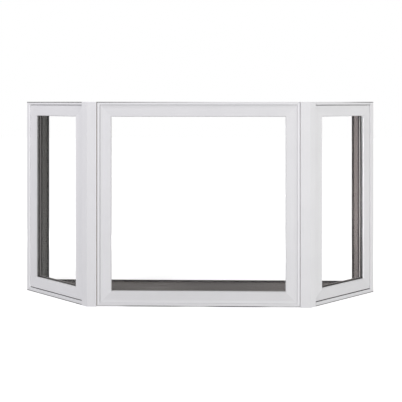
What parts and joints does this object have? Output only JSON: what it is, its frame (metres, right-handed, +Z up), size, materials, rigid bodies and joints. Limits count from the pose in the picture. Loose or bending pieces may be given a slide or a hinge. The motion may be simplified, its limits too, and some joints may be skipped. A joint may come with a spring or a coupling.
{
  "type": "bay window",
  "caption": "Bay window unit: a square fixed light between narrow side lights that angle back to the wall, carried between a seat board and a head board.",
  "frame": {"origin": "middle of the unit's box in plan, on the underside of the seat board, which it stands on", "axes": "+X to the right seen from outdoors, -Y outdoors, +Y into the room, +Z up"},
  "size_m": [2.2416, 0.398, 1.223],
  "materials": {
    "frame_vinyl": "satin white vinyl extrusion with a dark laminate on its room side",
    "sash_vinyl": "satin white vinyl extrusion with a dark laminate on its room side",
    "cover_vinyl": "satin white bent cover",
    "dark_laminate": "matt grey-brown laminate with a faint wood grain",
    "board_veneer": "matt grey-brown stained veneer on plywood",
    "casing_wood": "matt grey-brown stained wood",
    "post_lumber": "planed softwood",
    "window_glass": "clear float glass",
    "spacer_metal": "matt dark bar"
  },
  "bodies": {
    "root": {"seat_board": "board_veneer", "head_board": "board_veneer", "room_edging": "casing_wood", "left_end_jamb": "casing_wood", "left_mullion_post": "post_lumber", "left_mullion_cover": "cover_vinyl", "left_mullion_casing": "casing_wood", "right_end_jamb": "casing_wood", "right_mullion_post": "post_lumber", "right_mullion_cover": "cover_vinyl", "right_mullion_casing": "casing_wood", "centre_frame_head": "frame_vinyl", "centre_frame_sill": "frame_vinyl", "centre_frame_left_jamb": "frame_vinyl", "centre_frame_right_jamb": "frame_vinyl", "centre_sash_top_rail": "sash_vinyl", "centre_sash_bottom_rail": "sash_vinyl", "centre_sash_left_stile": "sash_vinyl", "centre_sash_right_stile": "sash_vinyl", "centre_glass": "window_glass", "centre_glass_spacer": "spacer_metal", "centre_glazing_beads": "dark_laminate", "left_frame_head": "frame_vinyl", "left_frame_sill": "frame_vinyl", "left_frame_left_jamb": "frame_vinyl", "left_frame_right_jamb": "frame_vinyl", "left_sash_top_rail": "sash_vinyl", "left_sash_bottom_rail": "sash_vinyl", "left_sash_left_stile": "sash_vinyl", "left_sash_right_stile": "sash_vinyl", "left_glass": "window_glass", "left_glass_spacer": "spacer_metal", "left_glazing_beads": "dark_laminate", "right_frame_head": "frame_vinyl", "right_frame_sill": "frame_vinyl", "right_frame_left_jamb": "frame_vinyl", "right_frame_right_jamb": "frame_vinyl", "right_sash_top_rail": "sash_vinyl", "right_sash_bottom_rail": "sash_vinyl", "right_sash_left_stile": "sash_vinyl", "right_sash_right_stile": "sash_vinyl", "right_glass": "window_glass", "right_glass_spacer": "spacer_metal", "right_glazing_beads": "dark_laminate"}
  },
  "joints": []
}
